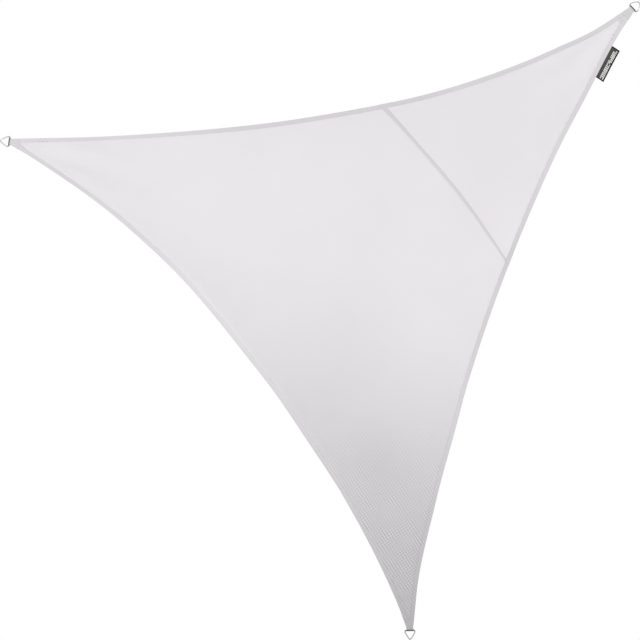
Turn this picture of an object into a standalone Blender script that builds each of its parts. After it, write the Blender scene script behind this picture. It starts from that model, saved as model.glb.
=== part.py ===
"""Three-cornered shade sail, held up by the rings at its corners.

The sail hangs upright in the XZ plane and faces -Y, +Z up, in metres.
The origin is the tip of the top right ring, on the line of its wire.
Places on the cloth are worked out flat, as (x, z), and belly() then gives
each of them its depth, so every piece lies on the same surface.
"""
import math
from collections import namedtuple

import bmesh
import bpy
from mathutils import Vector

MM = 0.001

# Ring tip to ring tip, and the way the top side runs.
SIDE_TOP = 2.972
SIDE_RIGHT = 3.078
SIDE_LEFT = 2.935
TOP_SIDE_RISE = math.radians(12.2)

# Cloth, its folded hem and the seam between the two panels.
CLOTH = 1.2 * MM
HEM = 2.8 * MM
HEM_WIDTH = 20 * MM
HEM_STEP = 3 * MM
GAP = 0.35 * MM
SEAM_ON_TOP = 0.582
SEAM_ON_RIGHT = 0.430
SEAM_SLANT_TOP = 12 * MM
SEAM_SLANT_RIGHT = 16 * MM
SEAM_BOW = 18.5 * MM
SEAM_LAP_TOP = 22 * MM
SEAM_LAP_RIGHT = 9 * MM
LAP_FADE = 90 * MM

# How far the cloth swells towards the viewer, and the folds at its corners.
# DOME and BUBBLE are the two shares of the swelling at the sail's middle.
DOME = 70 * MM
BUBBLE = 90 * MM
FOLD = 2.5 * MM
FOLD_START = 0.3
FOLD_REACH = 0.48
FOLD_ANGLE = math.radians(17)

# Corner fittings: a delta ring on a webbing loop, between two patches.
WIRE_RADIUS = 3 * MM
RING_HALF_BASE = 27 * MM
RING_APEX = 46.5 * MM
RING_BEND = 7 * MM
RING_TIP_BEND = 5.5 * MM
RING_HEIGHT = 41 * MM
BAR_TO_CLOTH = 5 * MM
END_HALF_WIDTH = 14 * MM
WEBBING = 1.1 * MM
WEBBING_HALF_WIDTH = 14.75 * MM
WEBBING_LEG = 32 * MM
PATCH = 1.2 * MM
PATCH_LENGTH = 52 * MM
PATCH_OVERHANG = 2.2 * MM
PATCH_MARGIN = 0.8 * MM
PATCH_GAP = 0.45 * MM
PATCH_STEP_END = (3 * MM, 14 * MM)
PATCH_STEP_SIDE = (2 * MM, 10 * MM)

# Folded tag in the hem of the right side, next to the top corner.
LABEL = 1.2 * MM
LABEL_START = 184 * MM
LABEL_LENGTH = 162 * MM
LABEL_OUT = 43 * MM
LABEL_TUCK = 9 * MM
LABEL_CURL = 3 * MM
LABEL_GAP = 0.6 * MM

# Cells of the cloth: along a row, up the main panel, up the corner panel.
# The powers and the bunching set how close together they lie at the ends.
ROW_CELLS = 30
MAIN_ROWS = 30
CORNER_ROWS = 20
MAIN_POWER = 1.2
CORNER_POWER = 0.92
LEG_POWER = 0.6
BUNCHING = 0.45
RIM_NUDGE = 9 * MM
TOP_END_SETBACK = 1.6

# The height of a unit parabola where the peak column below adds nothing.
PEAK_LEVEL = 0.8
SLOPE_STEP = 1 * MM

CORNER_TABLE = (
    # name, pull: the angle in the picture's plane that the ring points to
    ("left", 172.0),
    ("top", 43.0),
    ("bottom", -89.0),
)
EDGE_TABLE = (
    # name, from, to, then the hollow of the edge: its sag, its lean towards
    # one end, and how much straighter than a parabola it runs near its ends
    ("top", "left", "top", 0.204, 0.142, -0.013),
    ("right", "top", "bottom", 0.160, 0.008, -0.014),
    ("left", "bottom", "left", 0.238, 0.057, -0.038),
)

# No hem runs quite true: the place along its edge, then how far in it lies, in mm.
WAVER_TABLE = {
    "top": (
        (0.0, 0.0), (0.16, 5.0), (0.39, 5.5), (0.52, 2.5), (0.64, 4.5), (0.8, 1.0),
        (0.87, 0.5), (0.93, 6.5), (1.0, 0.0),
    ),
    "right": (
        (0.0, 0.0), (0.04, 5.0), (0.15, -2.0), (0.25, 3.5), (0.5, 3.5), (0.61, 1.5),
        (0.7, -5.0), (0.8, -1.0), (0.92, 8.0), (1.0, 0.0),
    ),
    "left": (
        (0.0, 0.0), (0.04, 3.5), (0.23, 2.5), (0.34, -3.0), (0.43, 0.0), (0.5, -2.5),
        (0.66, 5.0), (0.78, 0.5), (0.91, -4.5), (1.0, 0.0),
    ),
}

Corner = namedtuple("Corner", "tip pull across")
Edge = namedtuple("Edge", "start end sag skew peak waver")


def direction(angle):
    return Vector((math.cos(angle), math.sin(angle)))


def mix(low, high, share):
    return low + (high - low) * share


def ease(value, low, high):
    share = min(max((value - low) / (high - low), 0.0), 1.0)
    return share * share * (3 - 2 * share)


def ring_tips():
    """The three ring tips, from the sides of the triangle they make."""
    top = Vector((0.0, 0.0))
    left = -SIDE_TOP * direction(TOP_SIDE_RISE)
    cosine = (SIDE_TOP ** 2 + SIDE_RIGHT ** 2 - SIDE_LEFT ** 2) / (2 * SIDE_TOP * SIDE_RIGHT)
    bottom = -SIDE_RIGHT * direction(TOP_SIDE_RISE + math.acos(cosine))
    return {"left": left, "top": top, "bottom": bottom}


def make_corners():
    tips = ring_tips()
    corners = {}
    for name, degrees in CORNER_TABLE:
        angle = math.radians(degrees)
        corners[name] = Corner(tips[name], direction(angle), direction(angle + math.pi / 2))
    return corners


CORNERS = make_corners()


def corner_flat(corner, inward, across):
    """A place by a corner: inward from the cloth's end, and across it."""
    setback = RING_HEIGHT + BAR_TO_CLOTH + inward
    return corner.tip - corner.pull * setback + corner.across * across


def make_edges():
    edges = {}
    for name, first, last, sag, skew, peak in EDGE_TABLE:
        start = corner_flat(CORNERS[first], 0.0, -END_HALF_WIDTH)
        end = corner_flat(CORNERS[last], 0.0, END_HALF_WIDTH)
        edges[name] = Edge(start, end, sag, skew, peak, WAVER_TABLE[name])
    return edges


EDGES = make_edges()


def waver(edge, t):
    """How far in the hem lies there, off the edge's smooth line."""
    for (low, low_inset), (high, high_inset) in zip(edge.waver, edge.waver[1:]):
        if t <= high:
            return mix(low_inset, high_inset, ease(t, low, high)) * MM
    return 0.0


def edge_frame(edge, t):
    """A point of an edge, and the way in from it, square to the edge."""
    chord = edge.end - edge.start
    inward = Vector((chord.y, -chord.x)).normalized()
    bulge = 4 * t * (1 - t)
    hollow = edge.sag + edge.skew * (t - 0.5) + edge.peak * (bulge - PEAK_LEVEL)
    slope = 4 * (1 - 2 * t) * (hollow + edge.peak * bulge) + bulge * edge.skew
    tangent = chord + inward * slope
    normal = Vector((tangent.y, -tangent.x)).normalized()
    return edge.start + chord * t + inward * (bulge * hollow + waver(edge, t)), normal


def edge_point(edge, t, inset=0.0):
    point, normal = edge_frame(edge, t)
    return point + normal * inset


def edge_length(edge):
    return (edge.end - edge.start).length


def shares(point):
    """The point's barycentric shares of the three ring tips."""
    a, b, c = (CORNERS[name].tip for name, _ in CORNER_TABLE)
    whole = (b - a).cross(c - a)
    left = (b - point).cross(c - point) / whole
    top = (c - point).cross(a - point) / whole
    return left, top, 1 - left - top


def corner_folds(point):
    """Soft folds that fan out from each corner and fade into the cloth."""
    height = 0.0
    for corner in CORNERS.values():
        arm = point - corner.tip
        reach = arm.length / FOLD_REACH
        if reach < FOLD_START:
            continue
        turn = math.atan2(arm.dot(corner.across), -arm.dot(corner.pull))
        fade = ease(reach, FOLD_START, 1.0) * math.exp(1 - reach * reach)
        height += fade * math.cos(2 * math.pi * turn / FOLD_ANGLE)
    return FOLD * height


def belly(point):
    left, top, bottom = shares(point)
    dome = 1.5 * (1 - left * left - top * top - bottom * bottom)
    bubble = 27 * left * top * bottom
    return -(DOME * dome + BUBBLE * bubble + corner_folds(point))


def on_sail(point, lift=0.0):
    """A flat place put on the bellied cloth, lifted towards the viewer."""
    depth = belly(point)
    across = belly(point + Vector((SLOPE_STEP, 0.0))) - depth
    upward = belly(point + Vector((0.0, SLOPE_STEP))) - depth
    normal = Vector((across, -SLOPE_STEP, upward)).normalized()
    return Vector((point.x, depth, point.y)) + normal * lift


def material(name, colour, roughness, metallic=0.0):
    made = bpy.data.materials.new(name)
    made.use_nodes = True
    shader = made.node_tree.nodes["Principled BSDF"]
    shader.inputs["Base Color"].default_value = (*colour, 1.0)
    shader.inputs["Roughness"].default_value = roughness
    shader.inputs["Metallic"].default_value = metallic
    return made


def sheet(name, columns, rows, place, thickness, look, thin=None):
    """A sheet of cloth: a grid put in place cell by cell, then thickened.

    place(i, j) gives the point and, where thin is set, whether it is hem.
    """
    mesh = bpy.data.meshes.new(name)
    grid = bmesh.new()
    bmesh.ops.create_grid(grid, x_segments=columns, y_segments=rows, size=1.0)
    hem = grid.verts.layers.deform.verify()
    for vert in grid.verts:
        i = round((vert.co.x + 1) / 2 * columns)
        j = round((vert.co.y + 1) / 2 * rows)
        vert.co, weight = place(i, j)
        vert[hem][0] = weight
    grid.to_mesh(mesh)
    grid.free()
    mesh.shade_smooth()
    mesh.materials.append(look)
    made = bpy.data.objects.new(name, mesh)
    made.vertex_groups.new(name="hem")
    COLLECTION.objects.link(made)
    solid = made.modifiers.new("thickness", "SOLIDIFY")
    solid.thickness = thickness
    solid.offset = 0.0
    if thin is not None:
        solid.vertex_group = "hem"
        solid.thickness_vertex_group = thin / thickness
    return made


def spread(share):
    """Cells are closer together near both ends of a row."""
    return share - BUNCHING * math.sin(2 * math.pi * share) / (2 * math.pi)


def coons(low, high, first, last, u, v):
    """A smooth patch between four curves that share their end points."""
    ruled = mix(low(u), high(u), v) + mix(first(v), last(v), u)
    corners = mix(mix(low(0), low(1), u), mix(high(0), high(1), u), v)
    return ruled - corners


def seam_ends(side):
    """Where a lap edge meets the sail's edges: side is -1 low, +1 high."""
    top = EDGES["top"]
    right = EDGES["right"]
    half_top = side * SEAM_LAP_TOP / 2 / edge_length(top)
    half_right = side * SEAM_LAP_RIGHT / 2 / edge_length(right)
    return SEAM_ON_TOP + half_top, SEAM_ON_RIGHT - half_right


def hem_strip(edge, t, foot_t, k):
    """Point k of the strip that crosses a hem: 0 rim, 1 fold, 2 foot."""
    rim = edge_point(edge, t)
    foot = edge_point(edge, foot_t, HEM_WIDTH + HEM_STEP)
    return mix(rim, foot, (0.0, HEM_WIDTH / (HEM_WIDTH + HEM_STEP), 1.0)[k])


def seam_curve(side):
    """The lap edge between its two hems, as a bowed line."""
    on_top, on_right = seam_ends(side)
    inset = HEM_WIDTH + HEM_STEP
    top = EDGES["top"]
    right = EDGES["right"]
    start = edge_point(top, on_top + SEAM_SLANT_TOP / edge_length(top), inset)
    end = edge_point(right, on_right - SEAM_SLANT_RIGHT / edge_length(right), inset)
    chord = end - start
    outward = Vector((-chord.y, chord.x)).normalized()
    return lambda u: start + chord * u + outward * SEAM_BOW * 4 * u * (1 - u)


def seam_row(side, i):
    """Node i of a row that lies on a lap edge, hems and all."""
    on_top, on_right = seam_ends(side)
    top = EDGES["top"]
    right = EDGES["right"]
    if i < 2:
        return hem_strip(top, on_top, on_top + SEAM_SLANT_TOP / edge_length(top), i)
    if i > ROW_CELLS - 2:
        foot = on_right - SEAM_SLANT_RIGHT / edge_length(right)
        return hem_strip(right, on_right, foot, ROW_CELLS - i)
    return seam_curve(side)(spread((i - 2) / (ROW_CELLS - 4)))


def in_hem(i):
    return i < 2 or i > ROW_CELLS - 2


def corner_foot(edge_before, edge_after):
    """How far along both edges the inner lines of two hems meet."""
    before = edge_frame(edge_before, 1.0)[1]
    after = edge_frame(edge_after, 0.0)[1]
    half_angle = (math.pi - before.angle(after)) / 2
    from_point = (HEM_WIDTH + HEM_STEP) / math.tan(half_angle)
    cut_off = END_HALF_WIDTH / math.sin(half_angle)
    return from_point - cut_off


def main_panel_place(i, j):
    """Rows run from the left edge, j = 0, up to the seam's far lap edge."""
    top = EDGES["top"]
    right = EDGES["right"]
    left = EDGES["left"]
    inset = HEM_WIDTH + HEM_STEP
    last = ROW_CELLS
    if j == MAIN_ROWS:
        return on_sail(seam_row(1, i)), float(in_hem(i))
    if j == MAIN_ROWS - 1:
        return on_sail(seam_row(-1, i)), float(in_hem(i))
    at_left = corner_foot(left, top)
    at_bottom = corner_foot(right, left)
    left_run = at_left / edge_length(left)
    bottom_run = at_bottom / edge_length(left)
    seam_top, seam_right = seam_ends(-1)
    foot_top = seam_top + SEAM_SLANT_TOP / edge_length(top)
    foot_right = seam_right - SEAM_SLANT_RIGHT / edge_length(right)
    top_start = at_left / edge_length(top)
    right_start = 1 - at_bottom / edge_length(right)
    if j < 2:
        if i == 0:
            across = (END_HALF_WIDTH, -END_HALF_WIDTH)[j]
            return on_sail(corner_flat(CORNERS["left"], 0.0, across)), 1.0
        if i == last:
            across = (-END_HALF_WIDTH, END_HALF_WIDTH)[j]
            return on_sail(corner_flat(CORNERS["bottom"], 0.0, across)), 1.0
        u = spread(min(max((i - 2) / (last - 4), 0.0), 1.0))
        t = 1 - mix(left_run, 1 - bottom_run, u)
        nudge = RIM_NUDGE / edge_length(left)
        if i == 1:
            t += nudge
        if i == last - 1:
            t -= nudge
        return on_sail(edge_point(left, t, HEM_WIDTH * j)), 1.0
    v = ((j - 2) / (MAIN_ROWS - 3)) ** MAIN_POWER
    if i < 2:
        rim = mix(top_start, seam_top, v)
        foot = mix(top_start, foot_top, v)
        return on_sail(hem_strip(top, rim, foot, i)), 1.0
    if i > last - 2:
        rim = mix(right_start, seam_right, v)
        foot = mix(right_start, foot_right, v)
        return on_sail(hem_strip(right, rim, foot, last - i)), 1.0
    point = coons(
        lambda u: edge_point(left, 1 - mix(left_run, 1 - bottom_run, u), inset),
        seam_curve(-1),
        lambda share: edge_point(top, mix(top_start, foot_top, share), inset),
        lambda share: edge_point(right, mix(right_start, foot_right, share), inset),
        spread((i - 2) / (last - 4)), v)
    return on_sail(point), 0.0


def corner_panel_place(i, j):
    """Rows run from the near lap edge, j = 0, up to the top corner's end."""
    top = EDGES["top"]
    right = EDGES["right"]
    last = ROW_CELLS
    hem = in_hem(i)
    lap_lift = GAP + (HEM if hem else CLOTH)
    if j < 2:
        return on_sail(seam_row((-1, 1)[j], i), lap_lift), float(hem)
    corner = CORNERS["top"]
    seam_top, seam_right = seam_ends(1)
    foot_top = seam_top + SEAM_SLANT_TOP / edge_length(top)
    foot_right = seam_right - SEAM_SLANT_RIGHT / edge_length(right)
    setback = TOP_END_SETBACK * corner_foot(top, right)
    v = ((j - 1) / (CORNER_ROWS - 2)) ** CORNER_POWER
    if j == CORNER_ROWS:
        across = mix(END_HALF_WIDTH, -END_HALF_WIDTH, i / last)
        return on_sail(corner_flat(corner, 0.0, across)), 1.0
    inset = HEM_WIDTH + HEM_STEP
    top_end = 1 - setback / edge_length(top)
    right_end = setback / edge_length(right)
    if i < 2:
        rim, foot = mix(seam_top, top_end, v), mix(foot_top, top_end, v)
        point = hem_strip(top, rim, foot, i)
    elif i > last - 2:
        rim, foot = mix(seam_right, right_end, v), mix(foot_right, right_end, v)
        point = hem_strip(right, rim, foot, last - i)
    else:
        point = coons(
            seam_curve(1),
            lambda u: mix(edge_point(top, top_end, inset), edge_point(right, right_end, inset), u),
            lambda share: edge_point(top, mix(foot_top, top_end, share), inset),
            lambda share: edge_point(right, mix(foot_right, right_end, share), inset),
            spread((i - 2) / (last - 4)), v)
    seam_depth = (point - seam_row(1, i)).length
    fall = 1 - ease(seam_depth, 0.0, LAP_FADE)
    return on_sail(point, lap_lift * fall), float(hem)


def webbing_lift(inward):
    """The leg's middle: round the bar at its end, down on the hem inside."""
    at_bar = WIRE_RADIUS + GAP + WEBBING / 2
    on_hem = HEM / 2 + GAP + WEBBING / 2
    return mix(at_bar, on_hem, ease(inward, -BAR_TO_CLOTH, BAR_TO_CLOTH))


def webbing_path():
    """Middle line of the loop, as (inward, lift), front leg to back leg."""
    leg_cells = 9
    turn_cells = 12
    radius = WIRE_RADIUS + GAP + WEBBING / 2
    front = []
    for step in range(leg_cells):
        inward = mix(WEBBING_LEG, -BAR_TO_CLOTH, (step / leg_cells) ** LEG_POWER)
        front.append((inward, webbing_lift(inward)))
    turn = []
    for step in range(turn_cells + 1):
        angle = math.pi * step / turn_cells
        turn.append((-BAR_TO_CLOTH - radius * math.sin(angle), radius * math.cos(angle)))
    back = [(inward, -lift) for inward, lift in reversed(front)]
    return front + turn + back


def make_webbing(name, corner, look):
    path = webbing_path()
    columns = 2

    def place(i, j):
        inward, lift = path[j]
        across = mix(-WEBBING_HALF_WIDTH, WEBBING_HALF_WIDTH, i / columns)
        return on_sail(corner_flat(corner, inward, across), lift), 0.0

    return sheet(name, columns, len(path) - 1, place, WEBBING, look)


def widening(edge, t, corner):
    """How fast the cloth widens on one side, going in from its end."""
    normal = edge_frame(edge, t)[1]
    return abs(normal.dot(corner.pull) / normal.dot(corner.across))


def make_patch(name, corner, edge_before, edge_after, side, look):
    """A patch over one leg of the webbing: side is 1 in front, -1 behind."""
    columns = 8
    rows = 12
    plus = widening(edge_before, 1.0, corner)
    minus = widening(edge_after, 0.0, corner)
    on_hem = HEM / 2 + GAP + PATCH / 2
    over_leg = WEBBING / 2 + PATCH_GAP + PATCH / 2
    end_from, end_to = (WEBBING_LEG + step for step in PATCH_STEP_END)
    side_from, side_to = (WEBBING_HALF_WIDTH + step for step in PATCH_STEP_SIDE)

    def place(i, j):
        inward = mix(-PATCH_OVERHANG, PATCH_LENGTH, j / rows)
        deep = max(inward, 0.0)
        low = -(END_HALF_WIDTH + deep * minus - PATCH_MARGIN)
        high = END_HALF_WIDTH + deep * plus - PATCH_MARGIN
        across = mix(low, high, i / columns)
        past_end = ease(inward, end_from, end_to)
        past_side = ease(abs(across), side_from, side_to)
        raised = (1 - past_end) * (1 - past_side)
        lift = mix(on_hem, webbing_lift(inward) + over_leg, raised)
        return on_sail(corner_flat(corner, inward, across), side * lift), 0.0

    return sheet(name, columns, rows, place, PATCH, look)


def rounded(points, bends, cells):
    """A closed outline with its corners rounded, each with its own bend."""
    outline = []
    count = len(points)
    for k in range(count):
        before = (points[k - 1] - points[k]).normalized()
        after = (points[(k + 1) % count] - points[k]).normalized()
        half = before.angle(after) / 2
        centre = points[k] + (before + after).normalized() * bends[k] / math.sin(half)
        spoke = before * bends[k] / math.tan(half) + points[k] - centre
        sweep = math.pi - 2 * half
        turn = -1 if before.cross(after) > 0 else 1
        for step in range(cells + 1):
            angle = turn * sweep * step / cells
            cosine, sine = math.cos(angle), math.sin(angle)
            spot = Vector((spoke.x * cosine - spoke.y * sine, spoke.x * sine + spoke.y * cosine))
            outline.append(centre + spot)
    return outline


def make_ring(name, corner, look):
    """A delta ring, bent from round wire: its base bar carries the webbing."""
    base = (Vector((-RING_HALF_BASE, 0.0)), Vector((RING_HALF_BASE, 0.0)))
    line = rounded((*base, Vector((0.0, RING_APEX))), (RING_BEND, RING_BEND, RING_TIP_BEND), 6)
    curve = bpy.data.curves.new(name, "CURVE")
    curve.dimensions = "3D"
    curve.twist_mode = "MINIMUM"
    curve.bevel_depth = WIRE_RADIUS
    curve.bevel_resolution = 3
    spline = curve.splines.new("POLY")
    spline.points.add(len(line) - 1)
    for knot, spot in zip(spline.points, line):
        flat = corner_flat(corner, -BAR_TO_CLOTH - spot.y, spot.x)
        knot.co = (*on_sail(flat), 1.0)
    spline.use_cyclic_u = True
    spline.use_smooth = True
    curve.materials.append(look)
    made = bpy.data.objects.new(name, curve)
    COLLECTION.objects.link(made)
    return made


def make_label(look):
    edge = EDGES["right"]
    columns = 10
    rows = 5
    behind = HEM / 2 + LABEL_GAP + LABEL / 2

    def place(i, j):
        along = LABEL_START + LABEL_LENGTH * i / columns
        outward = mix(-LABEL_TUCK, LABEL_OUT, j / rows)
        curl = LABEL_CURL * (max(outward, 0.0) / LABEL_OUT) ** 2
        spot = edge_point(edge, along / edge_length(edge), -outward)
        return on_sail(spot, -behind - curl), 0.0

    return sheet("label", columns, rows, place, LABEL, look)


def clear_scene():
    for item in list(bpy.data.objects):
        bpy.data.objects.remove(item, do_unlink=True)


clear_scene()
COLLECTION = bpy.data.collections.new("shade_sail")
bpy.context.scene.collection.children.link(COLLECTION)

cloth_look = material("cloth", (0.80, 0.79, 0.80), 0.75)
patch_look = material("patch", (0.70, 0.69, 0.70), 0.80)
webbing_look = material("webbing", (0.14, 0.14, 0.15), 0.85)
steel_look = material("steel", (0.62, 0.62, 0.62), 0.28, 1.0)
label_look = material("label", (0.05, 0.05, 0.045), 0.80)

sheet("panel_main", ROW_CELLS, MAIN_ROWS, main_panel_place, HEM, cloth_look, CLOTH)
sheet("panel_corner", ROW_CELLS, CORNER_ROWS, corner_panel_place, HEM, cloth_look, CLOTH)
make_label(label_look)

CORNER_EDGES = (
    # corner, the edge that ends there, the edge that starts there
    ("left", "left", "top"),
    ("top", "top", "right"),
    ("bottom", "right", "left"),
)
for corner_name, before, after in CORNER_EDGES:
    fitting = CORNERS[corner_name]
    make_ring("ring_" + corner_name, fitting, steel_look)
    make_webbing("webbing_" + corner_name, fitting, webbing_look)
    for face, side in (("front", 1), ("back", -1)):
        patch_name = f"patch_{corner_name}_{face}"
        make_patch(patch_name, fitting, EDGES[before], EDGES[after], side, patch_look)
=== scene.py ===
import math

import bpy
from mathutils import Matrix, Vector


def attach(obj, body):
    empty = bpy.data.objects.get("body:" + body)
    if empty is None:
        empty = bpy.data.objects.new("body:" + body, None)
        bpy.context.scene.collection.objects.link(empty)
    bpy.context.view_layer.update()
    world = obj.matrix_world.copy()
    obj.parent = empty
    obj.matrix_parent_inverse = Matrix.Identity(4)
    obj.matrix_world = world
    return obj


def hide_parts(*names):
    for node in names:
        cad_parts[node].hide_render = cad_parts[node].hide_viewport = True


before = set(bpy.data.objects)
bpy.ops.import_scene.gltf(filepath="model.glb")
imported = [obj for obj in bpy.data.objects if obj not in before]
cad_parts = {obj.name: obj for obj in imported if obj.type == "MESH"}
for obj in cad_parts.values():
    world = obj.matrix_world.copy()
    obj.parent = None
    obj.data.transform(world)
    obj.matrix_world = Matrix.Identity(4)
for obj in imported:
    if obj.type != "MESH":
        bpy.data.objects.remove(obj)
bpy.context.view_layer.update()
print("frame loaded:", len(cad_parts), "nodes")

mm = 0.001

# The sail lies flat first, as (x, z), and belly() gives each place its depth.
sail = {
    "top": 2.972,  # ring tip to ring tip
    "right": 3.078,
    "left": 2.935,
    "rise": math.radians(12.2),  # slope of the top side
    "endHalf": 14 * mm,  # half the cloth's blunt end
    "endSetback": 46 * mm,  # from a ring's tip back to that end
    "dome": 70 * mm,
    "bubble": 90 * mm,
    "fold": 2.5 * mm,  # shallow folds that fan out from each corner
    "foldStart": 0.3,
    "foldReach": 0.48,
    "foldAngle": math.radians(17),
    "peakLevel": 0.8,
}
pulls = {"left": 172.0, "top": 43.0, "bottom": -89.0}  # the way each ring points, degrees
hollows = {  # edge: from, to, sag, lean, peak
    "top": ("left", "top", 0.204, 0.142, -0.013),
    "right": ("top", "bottom", 0.160, 0.008, -0.014),
    "left": ("bottom", "left", 0.238, 0.057, -0.038),
}

wavers = {  # the hems run a little in and out: place along the edge, then mm inwards
    "top": (
        (0.0, 0.0), (0.16, 5.0), (0.39, 5.5), (0.52, 2.5), (0.64, 4.5),
        (0.8, 1.0), (0.87, 0.5), (0.93, 6.5), (1.0, 0.0)),
    "right": (
        (0.0, 0.0), (0.04, 5.0), (0.15, -2.0), (0.25, 3.5), (0.5, 3.5),
        (0.61, 1.5), (0.7, -5.0), (0.8, -1.0), (0.92, 8.0), (1.0, 0.0)),
    "left": (
        (0.0, 0.0), (0.04, 3.5), (0.23, 2.5), (0.34, -3.0), (0.43, 0.0),
        (0.5, -2.5), (0.66, 5.0), (0.78, 0.5), (0.91, -4.5), (1.0, 0.0)),
}


def direction(angle):
    return Vector((math.cos(angle), math.sin(angle)))


def mix(low, high, share):
    return low + (high - low) * share


def ease(value, low, high):
    share = min(max((value - low) / (high - low), 0.0), 1.0)
    return share * share * (3 - 2 * share)


def tableValue(table, at):
    for (low, lowValue), (high, highValue) in zip(table, table[1:]):
        if at <= high:
            return mix(lowValue, highValue, ease(at, low, high))
    return table[-1][1]


def ringTips():
    cosine = (sail["top"] ** 2 + sail["right"] ** 2 - sail["left"] ** 2) / (2 * sail["top"] * sail["right"])
    return {
        "left": -sail["top"] * direction(sail["rise"]),
        "top": Vector((0.0, 0.0)),
        "bottom": -sail["right"] * direction(sail["rise"] + math.acos(cosine)),
    }


tips = ringTips()
pullWay = {name: direction(math.radians(angle)) for name, angle in pulls.items()}
acrossWay = {name: direction(math.radians(angle + 90)) for name, angle in pulls.items()}


def cornerPlace(corner, inward, across):
    # inward from the cloth's end, and across it
    return tips[corner] - pullWay[corner] * (sail["endSetback"] + inward) + acrossWay[corner] * across


def edgeEnds(edge):
    first, last = hollows[edge][:2]
    return cornerPlace(first, 0.0, -sail["endHalf"]), cornerPlace(last, 0.0, sail["endHalf"])


ends = {edge: edgeEnds(edge) for edge in hollows}
edgeSpan = {edge: (end - start).length for edge, (start, end) in ends.items()}


def edgePlace(edge, t, inset=0.0):
    start, end = ends[edge]
    sag, lean, peak = hollows[edge][2:]
    chord = end - start
    inward = Vector((chord.y, -chord.x)).normalized()
    bulge = 4 * t * (1 - t)
    hollow = sag + lean * (t - 0.5) + peak * (bulge - sail["peakLevel"])
    slope = 4 * (1 - 2 * t) * (hollow + peak * bulge) + bulge * lean
    tangent = chord + inward * slope
    normal = Vector((tangent.y, -tangent.x)).normalized()
    return start + chord * t + inward * (bulge * hollow + tableValue(wavers[edge], t) * mm) + normal * inset


def edgeTurn(edge, t):
    # the way in from the rim, square to it
    return (edgePlace(edge, t, 1.0) - edgePlace(edge, t)).normalized()


def shares(place):
    a, b, c = tips["left"], tips["top"], tips["bottom"]
    whole = (b - a).cross(c - a)
    left = (b - place).cross(c - place) / whole
    top = (c - place).cross(a - place) / whole
    return left, top, 1 - left - top


def cornerFolds(place):
    height = 0.0
    for corner, tip in tips.items():
        arm = place - tip
        reach = arm.length / sail["foldReach"]
        if reach < sail["foldStart"]:
            continue
        turn = math.atan2(arm.dot(acrossWay[corner]), -arm.dot(pullWay[corner]))
        fade = ease(reach, sail["foldStart"], 1.0) * math.exp(1 - reach * reach)
        height += fade * math.cos(2 * math.pi * turn / sail["foldAngle"])
    return sail["fold"] * height


# Long soft tension ridges: corner, turn from the pull in degrees, half width in degrees, height, reach
ridges = (
    ("left", -7.0, 2.6, 0.9 * mm, 0.95),
    ("left", 9.0, 2.1, -0.7 * mm, 0.80),
    ("top", -11.0, 2.3, 0.8 * mm, 0.85),
    ("top", 5.0, 2.9, -0.9 * mm, 1.05),
    ("top", 14.0, 2.0, 0.6 * mm, 0.70),
    ("bottom", -9.0, 2.2, 0.8 * mm, 0.90),
    ("bottom", 4.0, 2.7, 0.7 * mm, 1.10),
)


def tensionRidges(place):
    height = 0.0
    for corner, turnDegrees, halfDegrees, high, reach in ridges:
        arm = place - tips[corner]
        away = arm.length / reach
        if away > 1.6:
            continue
        turn = math.degrees(math.atan2(arm.dot(acrossWay[corner]), -arm.dot(pullWay[corner])))
        swing = (turn - turnDegrees) / (halfDegrees * (1 + 0.6 * away))
        height += high * ease(away, 0.12, 0.4) * (1 - ease(away, 0.7, 1.6)) * math.exp(-swing * swing)
    return height


def belly(place):
    left, top, bottom = shares(place)
    dome = 1.5 * (1 - left * left - top * top - bottom * bottom)
    bubble = 27 * left * top * bottom
    return -(sail["dome"] * dome + sail["bubble"] * bubble + cornerFolds(place) + tensionRidges(place))


def clothFrame(place):
    # the point on the sail, and the way out of it towards the viewer
    step = 1 * mm
    depth = belly(place)
    across = belly(place + Vector((step, 0.0))) - depth
    upward = belly(place + Vector((0.0, step))) - depth
    return Vector((place.x, depth, place.y)), Vector((across, -step, upward)).normalized()


def onSail(place, lift=0.0):
    point, out = clothFrame(place)
    return point + out * lift


print("sail planned")


# The two panels and their hems.
cloth = {
    "body": 1.2 * mm,
    "hem": 2.8 * mm,
    "foot": 24.5 * mm,  # past here the cloth is thin and plain
    "gap": 0.35 * mm,
    "rowCells": 120,
    "mainRows": 84,
    "cornerRows": 62,
    "endRows": 8,
    "bunching": 0.45,
    "mainPower": 1.2,
    "cornerPower": 0.92,
    "endSetback": 1.6,
}
hemProfile = (  # from the rim: inset, thickness, both in mm, and how much of it is a stitch line
    (0.0, 1.3, 0.0),
    (0.5, 2.2, 0.0),
    (1.4, 2.7, 0.0),
    (3.4, 2.8, 0.0),
    (4.9, 2.1, 1.0),
    (6.4, 2.8, 0.0),
    (10.5, 3.0, 0.0),
    (14.4, 2.8, 0.0),
    (15.9, 2.1, 1.0),
    (17.4, 2.8, 0.0),
    (19.85, 2.7, 0.0),
    (20.0, 1.3, 0.0),
    (22.5, 1.2, 0.0),
    (24.5, 1.2, 0.0),
)
hemWidths = {  # narrower towards the left corner: place along each edge, share of the full width
    "top": ((0.0, 1.0), (0.036, 0.82), (0.16, 0.78), (0.4, 1.0), (1.0, 1.0)),
    "right": ((0.0, 1.0), (1.0, 1.0)),
    "left": ((0.0, 1.0), (0.66, 1.0), (0.86, 0.76), (0.966, 0.76), (0.988, 1.12), (1.0, 1.12)),
}
seam = {
    "onTop": 0.582,  # where it meets the sail's edges
    "onRight": 0.430,
    "slantTop": 12 * mm,
    "slantRight": 16 * mm,
    "bow": 18.5 * mm,
    "lapTop": 22 * mm,
    "lapRight": 9 * mm,
    "fade": 90 * mm,
}
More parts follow.
